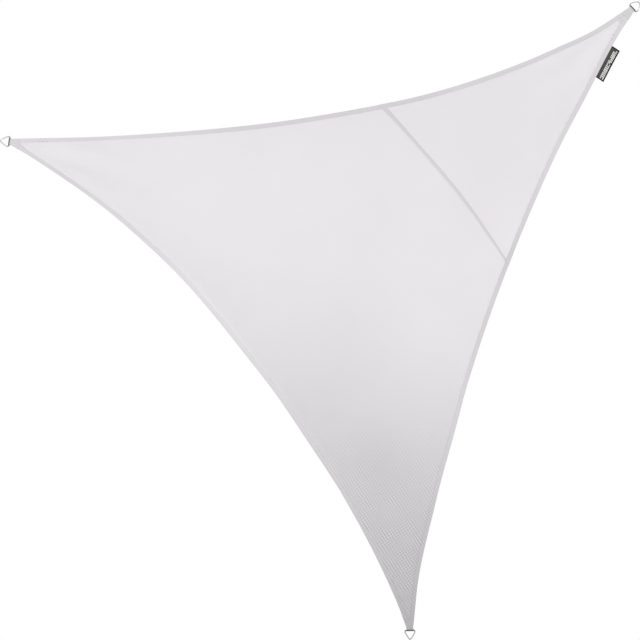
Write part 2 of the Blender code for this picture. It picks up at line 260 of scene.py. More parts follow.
seamWavers = {  # the lap's far and near edge, from top to right: share of the way, mm towards the corner
    -1: (
        (0.0, 0.0), (0.18, -0.9), (0.28, -1.6), (0.38, -2.7), (0.5, -0.7),
        (0.6, 0.9), (0.7, 1.2), (0.82, -0.8), (1.0, 0.0)),
    1: (
        (0.0, 0.0), (0.1, -2.5), (0.18, -4.8), (0.28, -5.2), (0.38, -3.0),
        (0.48, -1.4), (0.6, 0.9), (0.7, 1.2), (0.82, -0.5), (1.0, 0.0)),
}
lapProfile = (  # across the lap: share of its width, thickness in mm, stitch line
    (0.0, 1.2, 0.0),
    (0.05, 1.5, 0.0),
    (0.18, 1.5, 0.0),
    (0.26, 1.1, 1.0),
    (0.34, 1.5, 0.0),
    (0.5, 1.6, 0.0),
    (0.66, 1.5, 0.0),
    (0.74, 1.1, 1.0),
    (0.82, 1.5, 0.0),
    (0.93, 1.5, 0.0),
    (0.98, 1.2, 0.0),
    (1.0, 1.2, 0.0),
)
hemCells = len(hemProfile) - 1
foldedCells = 11  # how many of them lie in the fold itself
lapCells = len(lapProfile) - 1
lastColumn = 2 * hemCells + cloth["rowCells"]
mainInner = hemCells + cloth["mainRows"]  # the last row before the lap
mainLast = mainInner + lapCells
cornerInner = lapCells + cloth["cornerRows"]  # the last row before the blunt end
cornerLast = cornerInner + cloth["endRows"]


def hemInset(k, edge, t):
    inset = hemProfile[k][0] * mm
    return inset if k == hemCells else inset * tableValue(hemWidths[edge], t)


def hemShare(k, edge, t):
    return hemInset(k, edge, t) / cloth["foot"]


def hemStrip(edge, t, footT, k):
    return mix(edgePlace(edge, t), edgePlace(edge, footT, cloth["foot"]), hemShare(k, edge, t))


def spread(share):
    return share - cloth["bunching"] * math.sin(2 * math.pi * share) / (2 * math.pi)


def rowShare(i):
    return spread((i - hemCells) / cloth["rowCells"])


def coons(low, high, first, last, u, v):
    # a smooth patch between four curves that share their end points
    ruled = mix(low(u), high(u), v) + mix(first(v), last(v), u)
    return ruled - mix(mix(low(0), low(1), u), mix(high(0), high(1), u), v)


def footRun(before, after):
    # how far along both edges the inner lines of two hems meet
    halfAngle = (math.pi - edgeTurn(before, 1.0).angle(edgeTurn(after, 0.0))) / 2
    return cloth["foot"] / math.tan(halfAngle) - sail["endHalf"] / math.sin(halfAngle)


def lapEnds(side):
    halfTop = side * seam["lapTop"] / 2 / edgeSpan["top"]
    halfRight = side * seam["lapRight"] / 2 / edgeSpan["right"]
    return seam["onTop"] + halfTop, seam["onRight"] - halfRight


def lapFeet(side):
    onTop, onRight = lapEnds(side)
    return onTop + seam["slantTop"] / edgeSpan["top"], onRight - seam["slantRight"] / edgeSpan["right"]


def lapCurve(side, u):
    onTop, onRight = lapFeet(side)
    start = edgePlace("top", onTop, cloth["foot"])
    chord = edgePlace("right", onRight, cloth["foot"]) - start
    outward = Vector((-chord.y, chord.x)).normalized()
    bow = seam["bow"] * 4 * u * (1 - u) + tableValue(seamWavers[side], u) * mm
    return start + chord * u + outward * bow


def lapRow(side, i):
    # node i of a row that lies on a lap edge, hems and all
    onTop, onRight = lapEnds(side)
    footTop, footRight = lapFeet(side)
    if i < hemCells:
        return hemStrip("top", onTop, footTop, i)
    if i > lastColumn - hemCells:
        return hemStrip("right", onRight, footRight, lastColumn - i)
    return lapCurve(side, rowShare(i))


lapLow = [lapRow(-1, i) for i in range(lastColumn + 1)]
lapHigh = [lapRow(1, i) for i in range(lastColumn + 1)]


def columnRim(i):
    # which hem a column lies in, as its node from the rim, or the foot inside
    return min(i, lastColumn - i, hemCells)


def endCorner(corner, sign, k, j, a, b, rimRun, crossing, rimEnd):
    # the few cells where two hems meet at a blunt end; a and b are the node's shares across them
    half = hemCells // 2
    farEnd = cornerPlace(corner, 0.0, -sign * sail["endHalf"])
    nearEnd = cornerPlace(corner, 0.0, sign * sail["endHalf"])
    if j <= half:
        outer = mix(nearEnd, farEnd, j / half)
    else:
        outer = mix(farEnd, rimEnd(0), (j - half) / (hemCells - half))
    low = mix(nearEnd, rimRun, a)
    inner = crossing(j)
    high = rimEnd(k)
    ruled = mix(low, high, b) + mix(outer, inner, a)
    return ruled - mix(mix(nearEnd, rimRun, a), mix(rimEnd(0), rimEnd(hemCells), a), b)


def mainPlace(i, j):
    # rows run from the left edge, j = 0, up to the seam's far lap edge
    if j >= mainInner:
        return mix(lapLow[i], lapHigh[i], lapProfile[j - mainInner][0])
    atLeft = footRun("left", "top")
    atBottom = footRun("right", "left")
    leftRun, bottomRun = atLeft / edgeSpan["left"], atBottom / edgeSpan["left"]
    topStart, rightStart = atLeft / edgeSpan["top"], 1 - atBottom / edgeSpan["right"]
    k = lastColumn - i
    if j < hemCells:
        if i < hemCells:
            return endCorner(
                "left", 1, i, j, hemShare(i, "top", topStart), hemShare(j, "left", 1 - leftRun),
                edgePlace("left", 1 - leftRun),
                lambda row: edgePlace("left", 1 - leftRun, hemInset(row, "left", 1 - leftRun)),
                lambda node: hemStrip("top", topStart, topStart, node),
            )
        if k < hemCells:
            return endCorner(
                "bottom", -1, k, j, hemShare(k, "right", rightStart), hemShare(j, "left", bottomRun),
                edgePlace("left", bottomRun),
                lambda row: edgePlace("left", bottomRun, hemInset(row, "left", bottomRun)),
                lambda node: hemStrip("right", rightStart, rightStart, node),
            )
        t = 1 - mix(leftRun, 1 - bottomRun, rowShare(i))
        return edgePlace("left", t, hemInset(j, "left", t))
    seamTop, seamRight = lapEnds(-1)
    footTop, footRight = lapFeet(-1)
    v = ((j - hemCells) / cloth["mainRows"]) ** cloth["mainPower"]
    if i < hemCells:
        return hemStrip("top", mix(topStart, seamTop, v), mix(topStart, footTop, v), i)
    if k < hemCells:
        return hemStrip("right", mix(rightStart, seamRight, v), mix(rightStart, footRight, v), k)
    return coons(
        lambda u: edgePlace("left", 1 - mix(leftRun, 1 - bottomRun, u), cloth["foot"]),
        lambda u: lapCurve(-1, u),
        lambda share: edgePlace("top", mix(topStart, footTop, share), cloth["foot"]),
        lambda share: edgePlace("right", mix(rightStart, footRight, share), cloth["foot"]),
        rowShare(i), v)


def cornerPanelPlace(i, j):
    # rows run from the near lap edge, j = 0, up to the top corner's end
    if j <= lapCells:
        return mix(lapLow[i], lapHigh[i], lapProfile[j][0])
    seamTop, seamRight = lapEnds(1)
    footTop, footRight = lapFeet(1)
    setback = cloth["endSetback"] * footRun("top", "right")
    topEnd, rightEnd = 1 - setback / edgeSpan["top"], setback / edgeSpan["right"]
    k = lastColumn - i
    v = min((j - lapCells) / cloth["cornerRows"], 1.0) ** cloth["cornerPower"]
    if i < hemCells:
        place = hemStrip("top", mix(seamTop, topEnd, v), mix(footTop, topEnd, v), i)
    elif k < hemCells:
        place = hemStrip("right", mix(seamRight, rightEnd, v), mix(footRight, rightEnd, v), k)
    else:
        topFoot = edgePlace("top", topEnd, cloth["foot"])
        rightFoot = edgePlace("right", rightEnd, cloth["foot"])
        place = coons(
            lambda u: lapCurve(1, u),
            lambda u: mix(topFoot, rightFoot, u),
            lambda share: edgePlace("top", mix(footTop, topEnd, share), cloth["foot"]),
            lambda share: edgePlace("right", mix(footRight, rightEnd, share), cloth["foot"]),
            rowShare(i), v)
    if j > cornerInner:
        first, last = edgePlace("top", topEnd), edgePlace("right", rightEnd)
        share = (place - first).dot(last - first) / (last - first).length_squared
        end = cornerPlace("top", 0.0, mix(sail["endHalf"], -sail["endHalf"], share))
        place = mix(place, end, (j - cornerInner) / cloth["endRows"])
    return place


threadWay = direction(math.radians(-56.5))  # the cloth's own threads run nearly along the seam


def threadPlace(place):
    return place.dot(threadWay), place.dot(Vector((-threadWay.y, threadWay.x)))


hemPaintedShades = {  # painted light and shade along each edge: place from 0 to 1, and how much paler the hem is there
    "top": (
        (0.0, 0.025), (0.05, 0.015), (0.09, -0.01), (0.2, -0.003), (0.33, -0.044),
        (0.43, -0.062), (0.64, -0.062), (0.72, -0.01), (0.92, -0.008), (1.0, 0.01)),
    "right": (
        (0.0, 0.035), (0.05, 0.03), (0.1, 0.0), (0.22, 0.02), (0.36, -0.03), (0.43, -0.065),
        (0.5, -0.02), (0.68, 0.045), (0.85, 0.015), (0.92, 0.0), (1.0, -0.03)),
    "left": (
        (0.0, -0.01), (0.09, 0.04), (0.185, 0.047), (0.325, 0.033), (0.475, 0.028),
        (0.625, 0.038), (0.79, -0.02), (0.91, -0.033), (1.0, -0.005)),
}
leftPaintedLight = (  # painted light along the left edge, over the shade of the hem's step: how much paler the cloth is at the hem's inner line
    (0.0, 0.0), (0.06, 0.01), (0.18, 0.04), (0.32, 0.04), (0.47, 0.055),
    (0.62, 0.065), (0.72, 0.02), (0.8, 0.0), (1.0, 0.0))
bodyPaintedShades = (  # painted light and shade, soft paler and darker places in the cloth: x, z, reach in metres, and how much
    (-2.72, -0.68, 0.30, 0.024),
    (-2.10, -0.95, 0.35, 0.013),
    (-1.60, -1.45, 0.25, 0.012),
    (-0.88, -1.64, 0.30, 0.022),
    (-0.76, -1.34, 0.28, 0.012),
    (-1.42, -1.68, 0.38, -0.020),
    (-1.08, -2.55, 0.45, -0.026),
    (-0.20, -0.22, 0.35, 0.022),
    (-0.52, -1.08, 0.18, 0.020),
    (-1.19, -2.08, 0.15, -0.036),
)


def bodyPaintedShade(place):
    tone = 0.0
    for x, z, reach, amount in bodyPaintedShades:
        tone += amount * math.exp(-((place - Vector((x, z))).length / reach) ** 2)
    return tone


def alongEdge(edge, place):
    start, end = ends[edge]
    return (place - start).dot(end - start) / edgeSpan[edge] ** 2


# the hem's painted light and shade at a place
def hemPaintedShade(edge, place):
    return tableValue(hemPaintedShades[edge], alongEdge(edge, place))


def innerPaintedLight(i, j, place):
    # painted light just inside the left hem's step
    inset = hemProfile[min(j, hemCells)][0] + 7.0 * max(j - hemCells, 0)  # roughly, in mm
    near = ease(inset, 11.0, 19.5) * (1 - ease(inset, 24.0, 36.0))
    if near == 0 or columnRim(i) < hemCells:
        return 0.0
    return near * tableValue(leftPaintedLight, alongEdge("left", place))


def hemOf(i, j=lastColumn):
    # which edge's hem a node lies in
    if j < min(i, lastColumn - i):
        return "left"
    return "top" if i < lastColumn / 2 else "right"


def mainNode(i, j):
    place = mainPlace(i, j)
    rim = min(columnRim(i), j)
    thick, line = hemProfile[rim][1], hemProfile[rim][2]
    if j >= mainInner and rim == hemCells:
        thick, line = cloth["body"] / mm, 0.0
    # tone is painted light and shade: along the hems, over the body, and paler at the left hem's inner line
    tone = hemPaintedShade(hemOf(i, j), place) if rim < foldedCells else bodyPaintedShade(place)
    tone += innerPaintedLight(i, j, place)
    return place, 0.0, thick * mm, line, tone


def cornerNode(i, j):
    place = cornerPanelPlace(i, j)
    rim = columnRim(i)
    if j > cornerInner:
        rim = min(rim, foldedCells - 1)
    thick, line = hemProfile[rim][1], hemProfile[rim][2]
    lapStep = mix(cloth["body"], cloth["hem"], float(rim < foldedCells))
    lift = cloth["gap"] + lapStep
    if j <= lapCells:
        if rim == hemCells:
            thick, line = lapProfile[j][1], lapProfile[j][2]
    else:
        lift *= 1 - ease((place - lapHigh[i]).length, 0.0, seam["fade"])
    # tone is painted light and shade, along the hems and over the body
    tone = hemPaintedShade(hemOf(i), place) if rim < foldedCells else bodyPaintedShade(place)
    return place, lift, thick * mm, line, tone


def clearSelection():
    bpy.ops.object.select_all(action="DESELECT")


def startGrid(name, columns, rows):
    clearSelection()
    bpy.ops.mesh.primitive_grid_add(x_subdivisions=columns, y_subdivisions=rows, size=2)
    piece = bpy.context.object
    piece.name = piece.data.name = name
    return piece


def makeSheet(name, columns, rows, node, looks, thickest=3.2 * mm, lookOf=None, threads=threadPlace):
    # node(i, j) gives the flat place, the lift, the thickness, the stitch line and how much paler it is
    piece = startGrid(name, columns, rows)
    mesh = piece.data
    least = 0.2
    thickGroup = piece.vertex_groups.new(name="thick")
    spots = [(round((v.co.x + 1) / 2 * columns), round((v.co.y + 1) / 2 * rows)) for v in mesh.vertices]
    made = [node(i, j) for i, j in spots]
    for vert, (place, lift, thick, line, paler) in zip(mesh.vertices, made):
        vert.co = onSail(place, lift)
        thickGroup.add([vert.index], (thick / thickest - least) / (1 - least), "REPLACE")
    for attribute, column in (("stitchLine", 3), ("paler", 4)):
        values = mesh.attributes.new(attribute, "FLOAT", "POINT")
        values.data.foreach_set("value", [row[column] for row in made])
    uvs = mesh.uv_layers[0]
    uvs.name = "threads"
    for loop in mesh.loops:
        uvs.data[loop.index].uv = threads(made[loop.vertex_index][0])
    for look in looks:
        mesh.materials.append(look)
    if lookOf:
        for face in mesh.polygons:
            nodes = [spots[index] for index in face.vertices]
            face.material_index = lookOf(min(i for i, j in nodes), min(j for i, j in nodes))
    mesh.shade_smooth()
    thicken(piece, thickest, least)
    return piece


def thicken(piece, thickest, least):
    solid = piece.modifiers.new("thickness", "SOLIDIFY")
    solid.thickness = thickest
    solid.offset = 0.0
    solid.vertex_group = "thick"
    solid.thickness_vertex_group = least
    bpy.ops.object.modifier_apply(modifier=solid.name)
    sharpenRims(piece)


def sharpenRims(piece):
    clearSelection()
    piece.select_set(True)
    bpy.context.view_layer.objects.active = piece
    bpy.ops.object.shade_smooth_by_angle(angle=math.radians(50))


# Shader helpers: a node with its settings and inputs, and a group with its sockets.
def addNode(tree, kind, inputs=None, **settings):
    node = tree.nodes.new(kind)
    for key, value in settings.items():
        setattr(node, key, value)
    for key, value in (inputs or {}).items():
        if isinstance(value, bpy.types.NodeSocket):
            tree.links.new(value, node.inputs[key])
        else:
            node.inputs[key].default_value = value
    return node


def maths(tree, operation, a, b=None, c=None):
    inputs = {index: value for index, value in enumerate((a, b, c)) if value is not None}
    return addNode(tree, "ShaderNodeMath", inputs, operation=operation).outputs[0]


def newGroup(name, inputs, outputs):
    tree = bpy.data.node_groups.new(name, "ShaderNodeTree")
    for socketName, kind, value in inputs:
        socket = tree.interface.new_socket(socketName, in_out="INPUT", socket_type=kind)
        if value is not None:
            socket.default_value = value
    for socketName, kind in outputs:
        tree.interface.new_socket(socketName, in_out="OUTPUT", socket_type=kind)
    return tree, tree.nodes.new("NodeGroupInput"), tree.nodes.new("NodeGroupOutput")


def useGroup(tree, group, inputs):
    node = addNode(tree, "ShaderNodeGroup", node_tree=group)
    for key, value in inputs.items():
        if isinstance(value, bpy.types.NodeSocket):
            tree.links.new(value, node.inputs[key])
        else:
            node.inputs[key].default_value = value
    return node


def newLook(name):
    look = bpy.data.materials.new(name)
    look.use_nodes = True
    tree = look.node_tree
    tree.nodes.clear()
    return look, tree, tree.nodes.new("ShaderNodeOutputMaterial")


def makeKnitGroup():
    # a warp-knitted cloth: fine chains and loops, and a slower thick and thin both ways
    tree, given, out = newGroup(
        "knittedCloth",
        (("Threads", "NodeSocketVector", None), ("Stitch", "NodeSocketFloat", 2.4 * mm),
         ("Slub Along", "NodeSocketFloat", 12.4 * mm), ("Slub Across", "NodeSocketFloat", 11.8 * mm)),
        (("Height", "NodeSocketFloat"), ("Slub", "NodeSocketFloat"), ("Mottle", "NodeSocketFloat")))
    spot = addNode(tree, "ShaderNodeSeparateXYZ", {0: given.outputs["Threads"]}).outputs
    turn = 2 * math.pi
    chainPhase = maths(tree, "MULTIPLY", maths(tree, "DIVIDE", spot[1], given.outputs["Stitch"]), turn)
    loopPhase = maths(tree, "MULTIPLY", maths(tree, "DIVIDE", spot[0], given.outputs["Stitch"]), turn)
    chain = maths(tree, "COSINE", chainPhase)
    swing = maths(tree, "MULTIPLY", chain, 0.9)
    loops = maths(tree, "COSINE", maths(tree, "ADD", loopPhase, swing))
    height = maths(tree, "ADD", maths(tree, "MULTIPLY", chain, 0.6), maths(tree, "MULTIPLY", loops, 0.4))
    grid = []
    for axis, pitch, share, seed in ((1, "Slub Along", 0.66, 0.0), (0, "Slub Across", 0.42, 3.0)):
        apart = addNode(tree, "ShaderNodeVectorMath", {0: given.outputs["Threads"], 1: (seed, seed, seed)})
        wander = addNode(tree, "ShaderNodeTexNoise", {
            "Vector": apart.outputs[0], "Scale": 5.0, "Detail": 1.0})
        drift = maths(tree, "MULTIPLY", maths(tree, "SUBTRACT", wander.outputs[0], 0.5), 3.0)
        phase = maths(tree, "MULTIPLY", maths(tree, "DIVIDE", spot[axis], given.outputs[pitch]), turn)
        wave = maths(tree, "COSINE", maths(tree, "ADD", phase, drift))
        uneven = addNode(tree, "ShaderNodeTexNoise", {
            "Vector": apart.outputs[0], "Scale": 19.0, "Detail": 1.0})
        strength = maths(tree, "MULTIPLY_ADD", uneven.outputs[0], 4.4, -1.2)
        grid.append(maths(tree, "MULTIPLY", wave, maths(tree, "MULTIPLY", strength, share)))
    cloud = addNode(tree, "ShaderNodeTexNoise", {
        "Vector": given.outputs["Threads"], "Scale": 3.2, "Detail": 3.0})
    tree.links.new(height, out.inputs["Height"])
    tree.links.new(maths(tree, "ADD", *grid), out.inputs["Slub"])
    tree.links.new(cloud.outputs[0], out.inputs["Mottle"])
    return tree


def makeSlubGroup():
    # painted light: the slubs show low on the sail and fade out above, where brighter light washes them out
    tree, given, out = newGroup(
        "slubsFadedByPaintedLight",
        (("Slub", "NodeSocketFloat", 0.0), ("Place", "NodeSocketVector", None),
         ("Depth", "NodeSocketFloat", 0.1)),
        (("Shade", "NodeSocketFloat"),))
    high = addNode(tree, "ShaderNodeSeparateXYZ", {0: given.outputs["Place"]}).outputs[2]
    lowOnSail = addNode(tree, "ShaderNodeMapRange", {0: high, 1: -1.6, 2: -2.6, 3: 0.02, 4: 1.0},
                    interpolation_type="SMOOTHSTEP")
    depth = maths(tree, "MULTIPLY", lowOnSail.outputs[0], given.outputs["Depth"])
    tree.links.new(maths(tree, "MULTIPLY_ADD", given.outputs["Slub"], depth, 1.0), out.inputs["Shade"])
    return tree


def makeToneGroup():
    # a colour made a little darker in stitch lines, partly the thread and its holes and partly painted
    # shade of the groove, and paler or darker by the painted light and shade in the 'paler' attribute
    tree, given, out = newGroup(
        "sewnTone",
        (("Colour", "NodeSocketColor", None), ("Mottle", "NodeSocketFloat", 0.5),
         ("Line Depth", "NodeSocketFloat", 0.2), ("Mottle Depth", "NodeSocketFloat", 0.05),
         ("Tone Depth", "NodeSocketFloat", 1.0), ("Shade", "NodeSocketFloat", 1.0)),
        (("Colour", "NodeSocketColor"), ("Line", "NodeSocketFloat")))
    line = addNode(tree, "ShaderNodeAttribute", attribute_name="stitchLine").outputs["Fac"]
    paler = addNode(tree, "ShaderNodeAttribute", attribute_name="paler").outputs["Fac"]
    # painted light and shade, from the 'paler' attribute
    tone = maths(tree, "MULTIPLY_ADD", paler, given.outputs["Tone Depth"], 1.0)
    dip = maths(tree, "MULTIPLY_ADD", maths(tree, "MULTIPLY", line, given.outputs["Line Depth"]), -1.0, 1.0)
    cloudy = maths(tree, "SUBTRACT", given.outputs["Mottle"], 0.5)
    patchy = maths(tree, "MULTIPLY_ADD", cloudy, given.outputs["Mottle Depth"], 1.0)
    sewn = maths(tree, "MULTIPLY", tone, dip)
    factor = maths(tree, "MULTIPLY", maths(tree, "MULTIPLY", sewn, patchy), given.outputs["Shade"])
    colour = addNode(tree, "ShaderNodeVectorMath", {0: given.outputs["Colour"]}, operation="SCALE")
    tree.links.new(factor, colour.inputs["Scale"])
    tree.links.new(colour.outputs[0], out.inputs["Colour"])
    tree.links.new(line, out.inputs["Line"])
    return tree


knitGroup = makeKnitGroup()
slubGroup = makeSlubGroup()
toneGroup = makeToneGroup()

sailLook = {
    "colour": (0.895, 0.880, 0.895, 1.0),
    "rough": 0.72,
    "bump": 0.25 * mm,
    "through": 0.5,  # share of the light that goes on through the cloth
    "throughKnit": 0.1,
    "slub": 0.145,
}
foldedLook = {  # for the last three: colour, and how dark the stitch lines are
    "rough": 0.78,
    "bump": 0.3 * mm,
    "slub": 0.1,
    "hem": ((0.700, 0.683, 0.700, 1.0), 0.05),
    "lap": ((0.666, 0.651, 0.666, 1.0), 0.1),
    "patch": ((0.668, 0.652, 0.668, 1.0), 0.0),
}


def knitted(tree):
    place = addNode(tree, "ShaderNodeUVMap", uv_map="threads").outputs[0]
    return useGroup(tree, knitGroup, {"Threads": place})


def slubShade(tree, knit, depth):
    place = addNode(tree, "ShaderNodeTexCoord").outputs["Object"]
    shade = useGroup(tree, slubGroup, {"Slub": knit.outputs["Slub"], "Place": place, "Depth": depth})
    return shade.outputs["Shade"]


def sailClothLook(name):
    look, tree, out = newLook(name)
    knit = knitted(tree)
    tone = useGroup(tree, toneGroup, {
        "Colour": sailLook["colour"], "Mottle": knit.outputs["Mottle"], "Mottle Depth": 0.03,
        "Shade": slubShade(tree, knit, sailLook["slub"])})
    bump = addNode(tree, "ShaderNodeBump", {
        "Strength": 0.5, "Distance": sailLook["bump"], "Height": knit.outputs["Height"]})
    front = addNode(tree, "ShaderNodeBsdfPrincipled", {
        "Base Color": tone.outputs["Colour"], "Roughness": sailLook["rough"],
        "Specular IOR Level": 0.25, "Normal": bump.outputs[0]})
    through = addNode(tree, "ShaderNodeBsdfTranslucent", {"Color": tone.outputs["Colour"]})
    share = maths(
        tree, "MULTIPLY_ADD", knit.outputs["Height"], -sailLook["throughKnit"], sailLook["through"])
    both = addNode(tree, "ShaderNodeMixShader", {0: share, 1: front.outputs[0], 2: through.outputs[0]})
    tree.links.new(both.outputs[0], out.inputs["Surface"])
    return look


def foldedClothLook(name, colour, lineDepth):
    # cloth in several layers: hems, laps and corner patches let no light through
    look, tree, out = newLook(name)
    knit = knitted(tree)
    tone = useGroup(tree, toneGroup, {
        "Colour": colour, "Mottle": knit.outputs["Mottle"], "Line Depth": lineDepth, "Mottle Depth": 0.08,
        "Shade": slubShade(tree, knit, foldedLook["slub"])})
    dip = maths(tree, "MULTIPLY", tone.outputs["Line"], -0.8)
    height = maths(tree, "ADD", maths(tree, "MULTIPLY", knit.outputs["Height"], 0.5), dip)
    bump = addNode(tree, "ShaderNodeBump", {
        "Strength": 0.6, "Distance": foldedLook["bump"], "Height": height})
    front = addNode(tree, "ShaderNodeBsdfPrincipled", {
        "Base Color": tone.outputs["Colour"], "Roughness": foldedLook["rough"],
        "Specular IOR Level": 0.25, "Normal": bump.outputs[0]})
    tree.links.new(front.outputs[0], out.inputs["Surface"])
    return look


clothLook = sailClothLook("sailCloth")
hemClothLook = foldedClothLook("hemCloth", *foldedLook["hem"])
lapClothLook = foldedClothLook("lapCloth", *foldedLook["lap"])
patchClothLook = foldedClothLook("patchCloth", *foldedLook["patch"])


def mainLook(i, j):
    if min(i, lastColumn - 1 - i, j) < foldedCells:
        return 1
    return 2 if j >= mainInner else 0


def cornerLook(i, j):
    if min(i, lastColumn - 1 - i) < foldedCells or j >= cornerInner:
        return 1
    return 2 if j < lapCells else 0


panelMain = makeSheet("panelMain", lastColumn, mainLast, mainNode,
                      (clothLook, hemClothLook, lapClothLook), lookOf=mainLook)
panelCorner = makeSheet("panelCorner", lastColumn, cornerLast, cornerNode,
                        (clothLook, hemClothLook, lapClothLook), lookOf=cornerLook)
print("panels made")


# Thread, in stitches that lie in rows.
thread = {
    "pitch": 4.2 * mm,
    "half": 1.75 * mm,  # half a stitch's length
    "wide": 0.42 * mm,
    "high": 0.34 * mm,
    "sink": 0.12 * mm,
}


def threadLook(name, dark, light):
    look, tree, out = newLook(name)
    spot = addNode(tree, "ShaderNodeTexCoord").outputs["Object"]
    fuzz = addNode(tree, "ShaderNodeTexNoise", {"Vector": spot, "Scale": 900.0, "Detail": 2.0})
    tint = addNode(tree, "ShaderNodeMix", {
        0: fuzz.outputs[0], 6: (dark, dark, dark, 1.0), 7: (light, light, light, 1.0)}, data_type="RGBA")
    yarn = addNode(tree, "ShaderNodeBsdfPrincipled", {
        "Base Color": tint.outputs[2], "Roughness": 0.7, "Specular IOR Level": 0.3})
    tree.links.new(yarn.outputs[0], out.inputs["Surface"])
    return look


yarnLook = threadLook("sewingThread", 0.74, 0.90)
tackYarnLook = threadLook("tackThread", 0.34, 0.48)


def makeStitches(name, stitches, lookOfThem=yarnLook):
    # one stitch, repeated in an array; each copy is then laid on its own (centre, along, out)
    clearSelection()
    bpy.ops.mesh.primitive_uv_sphere_add(segments=6, ring_count=4, radius=1)
    piece = bpy.context.object
    piece.name = piece.data.name = name
    single = len(piece.data.vertices)
    rows = piece.modifiers.new("row", "ARRAY")
    rows.count = len(stitches)
    rows.relative_offset_displace = (0.0, 0.0, 3.0)
    bpy.ops.object.modifier_apply(modifier=rows.name)
    shape = [vert.co.copy() for vert in piece.data.vertices[:single]]
    for vert in piece.data.vertices:
        centre, along, out = stitches[vert.index // single]
        knot = shape[vert.index % single]
        side = out.cross(along)
        bow = thread["sink"] * (1 - 2.4 * knot.z * knot.z)
        vert.co = (centre + along * knot.z * thread["half"] + side * knot.x * thread["wide"]
                   + out * (knot.y * thread["high"] + bow))
    clearUvs(piece)
    piece.data.materials.append(lookOfThem)
    piece.data.shade_smooth()
    return piece


def clearUvs(piece):
    while piece.data.uv_layers:
        piece.data.uv_layers.remove(piece.data.uv_layers[0])


def stitchRun(line, length, lift, side=1):
    # stitches along line(t), a flat place, at a height over the sail's middle
    count = round(length / thread["pitch"])
    stops = [onSail(line(step / count), side * lift) for step in range(count + 1)]
    made = []
    for step in range(count):
        middle = (stops[step] + stops[step + 1]) / 2
        along = (stops[step + 1] - stops[step]).normalized()
        out = clothFrame(line((step + 0.5) / count))[1] * side
        out = (out - along * out.dot(along)).normalized()
        made.append((middle, along, out))
    return made


def hemRows():
    return [(inset, thick) for inset, thick, line in hemProfile if line]


def overLap(edge, t):
    # how much higher the hem lies where the corner panel crosses the main one
    if edge == "left":
        return 0.0
    which = 0 if edge == "top" else 1
    near, far = lapEnds(-1)[which], lapEnds(1)[which]
    if (edge == "top" and t < near) or (edge == "right" and t > near):
        return 0.0
    past = abs(t - far) * edgeSpan[edge]
    inLap = (near - t) * (far - t) < 0
    return (cloth["gap"] + cloth["hem"]) * (1.0 if inLap else 1 - ease(past, 0.0, seam["fade"]))


def hemStitches(edge, from0, to0):
    made = []
    for inset, thick in hemRows():
        for side in (1, -1):
            length = (to0 - from0) * edgeSpan[edge]
            count = round(length / thread["pitch"])
            stops = []
            for step in range(count + 1):
                t = mix(from0, to0, step / count)
                lift = side * thick * mm / 2 + overLap(edge, t)
                flat = edgePlace(edge, t, inset * mm * tableValue(hemWidths[edge], t))
                stops.append((onSail(flat, lift), flat))
            for (a, flatA), (b, flatB) in zip(stops, stops[1:]):
                along = (b - a).normalized()
                out = clothFrame((flatA + flatB) / 2)[1] * side
                out = (out - along * out.dot(along)).normalized()
                made.append(((a + b) / 2, along, out))
    return made


def seamStitches():
    made = []
    for share, thick, line in lapProfile:
        if not line:
            continue
        for side in (1, -1):
            def lapLine(u, share=share):
                return mix(lapCurve(-1, u), lapCurve(1, u), share)
            lift = thick * mm / 2
            if side == 1:
                lift += cloth["gap"] + cloth["body"]
            length = (lapLine(1.0) - lapLine(0.0)).length
            made += stitchRun(lapLine, length, lift, side)
    return made


stitchPieces = [
    makeStitches("topHemStitches", hemStitches("top", 0.004, 0.9985)),
    makeStitches("rightHemStitches", hemStitches("right", 0.0015, 0.9985)),
    makeStitches("leftHemStitches", hemStitches("left", 0.0015, 0.996)),
    makeStitches("seamStitches", seamStitches()),
]
print("stitches made:", [len(piece.data.polygons) for piece in stitchPieces])


# What holds each corner: a delta ring, webbing round its bar, and a patch on each face.
ring = {
    "wire": 3 * mm,
    "halfBase": 27 * mm,
    "apex": 46.5 * mm,
    "bend": 7 * mm,
    "tipBend": 5.5 * mm,
    "barToCloth": 5 * mm,
    "bendCells": 12,
    "sideCells": 14,
    "aroundCells": 20,
    "weld": 0.35 * mm,  # how far the weld stands out
    "weldHalf": 3.5 * mm,
    "bow": {"left": 2.2 * mm, "top": 3 * mm, "bottom": 0.8 * mm},  # how far the sides stand out
}
webbing = {
    "thick": 1.1 * mm,
    "half": 14.75 * mm,
    "leg": 32 * mm,
    "columns": 60,
    "legCells": 34,
    "turnCells": 26,
    "legPower": 0.6,
    "ribs": 12,
    "rib": 0.09 * mm,
    "paler": {"left": 0.0, "top": -0.75, "bottom": 0.25},  # the loops aren't all equally dark
}
patch = {
    "thick": 1.2 * mm,
    "long": {"left": 40 * mm, "top": 46 * mm, "bottom": 46 * mm},
    "overhang": 2.2 * mm,
    "margin": 0.8 * mm,
    "gap": 0.45 * mm,
    "stepEnd": (3 * mm, 14 * mm),
    "stepSide": (2 * mm, 10 * mm),
    "columns": 40,
    "rows": 48,
    # painted shade at the folded end, and of puckers
    "paintedEndShade": {"left": 0.05, "top": 0.05, "bottom": 0.1},
    "paintedPuckerShade": 0.05,
    "paintedPuckerPitch": 12 * mm,
}


